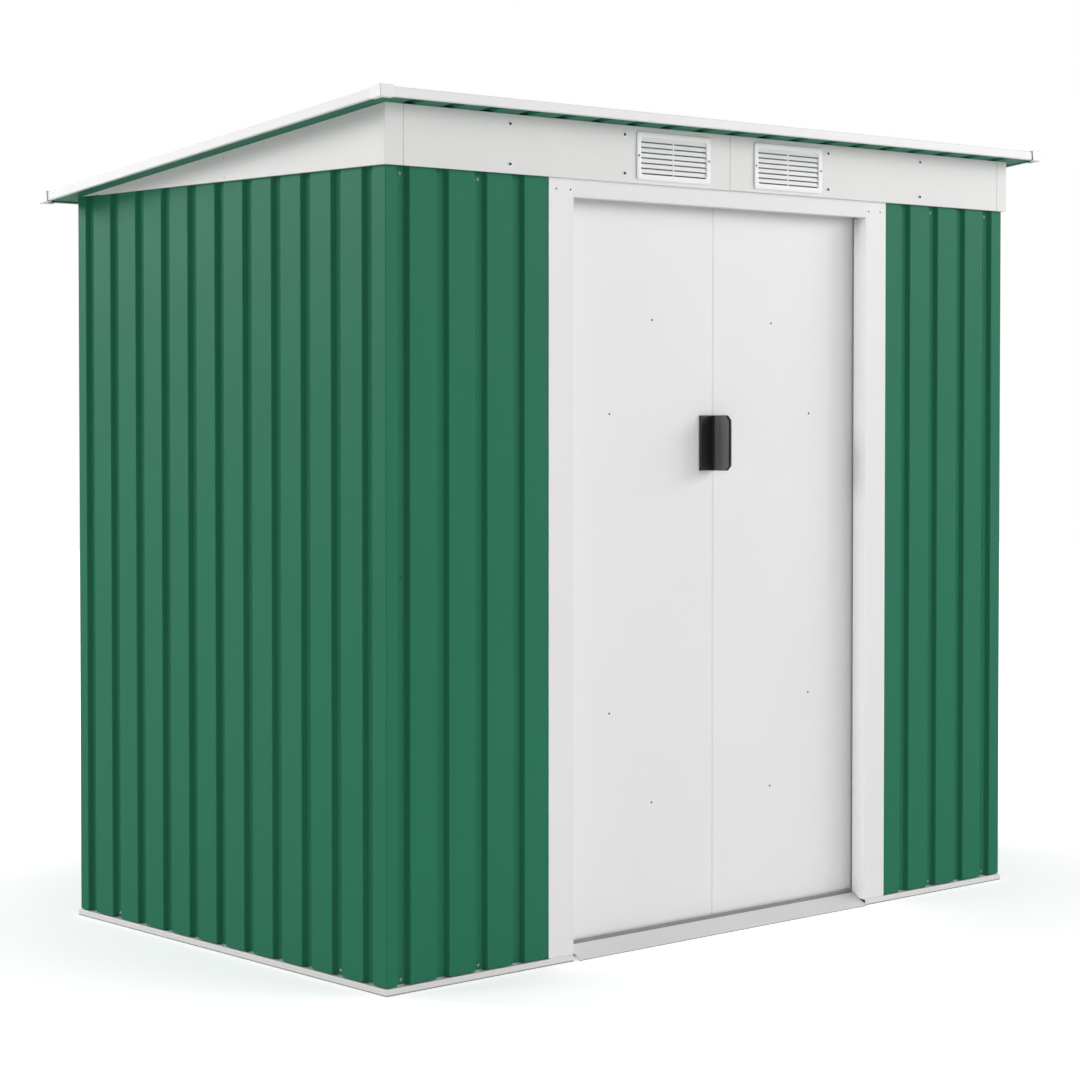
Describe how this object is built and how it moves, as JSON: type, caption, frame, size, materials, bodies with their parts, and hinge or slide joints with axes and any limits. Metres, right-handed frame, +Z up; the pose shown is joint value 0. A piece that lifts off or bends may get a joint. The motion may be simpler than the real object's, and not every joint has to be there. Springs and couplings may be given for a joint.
{
  "type": "metal storage shed",
  "caption": "Pent-roof garden shed of ribbed green steel sheets with white trim, louvred vents and a pair of sliding doors over a threshold ramp.",
  "frame": {"origin": "on the ground, under the middle of the whole shed's box", "axes": "+X to the right along the front, +Y from the doors to the rear, +Z up"},
  "size_m": [2.141, 1.3, 1.8599],
  "materials": {
    "green_steel": "satin powder coat",
    "white_steel": "satin powder coat",
    "galvanised_steel": "galvanised",
    "white_plastic": "moulded satin",
    "black_plastic": "moulded semi-gloss",
    "nylon": "moulded"
  },
  "bodies": {
    "root": {"base_rail_front": "white_steel", "base_rail_rear": "white_steel", "base_rail_left": "white_steel", "base_rail_right": "white_steel", "door_sill": "white_steel", "door_track_top": "galvanised_steel", "side_panel_left_front": "green_steel", "side_panel_left_rear": "green_steel", "side_panel_right_front": "green_steel", "side_panel_right_rear": "green_steel", "front_panel_left": "green_steel", "front_panel_right": "green_steel", "rear_panel_left": "green_steel", "rear_panel_right": "green_steel", "door_jamb_left": "white_steel", "door_jamb_right": "white_steel", "door_header": "white_steel", "front_rails": "galvanised_steel", "side_rails_left": "galvanised_steel", "side_rails_right": "galvanised_steel", "rear_rails": "galvanised_steel", "fascia_left": "white_steel", "fascia_right": "white_steel", "gable_left": "white_steel", "gable_right": "white_steel", "vent_left": "white_plastic", "vent_right": "white_plastic", "roof_beam": "galvanised_steel", "roof_panel_1": "green_steel", "roof_panel_2": "green_steel", "roof_panel_3": "green_steel", "roof_panel_4": "green_steel", "roof_trim_front": "white_steel", "roof_trim_rear": "white_steel", "roof_trim_left": "white_steel", "roof_trim_right": "white_steel", "roof_corner_caps": "white_plastic"},
    "left_door": {"door_panel_left": "white_steel", "door_braces_left": "galvanised_steel", "door_handle_left": "black_plastic", "door_glides_left": "nylon"},
    "right_door": {"door_panel_right": "white_steel", "door_braces_right": "galvanised_steel", "door_handle_right": "black_plastic", "door_glides_right": "nylon"}
  },
  "joints": [
    {"name": "left_door_slide", "type": "slide", "parent": "root", "child": "left_door", "axis": [-1, 0, 0], "range_m": [0, 0.425]},
    {"name": "right_door_slide", "type": "slide", "parent": "root", "child": "right_door", "axis": [1, 0, 0], "range_m": [0, 0.425]}
  ]
}
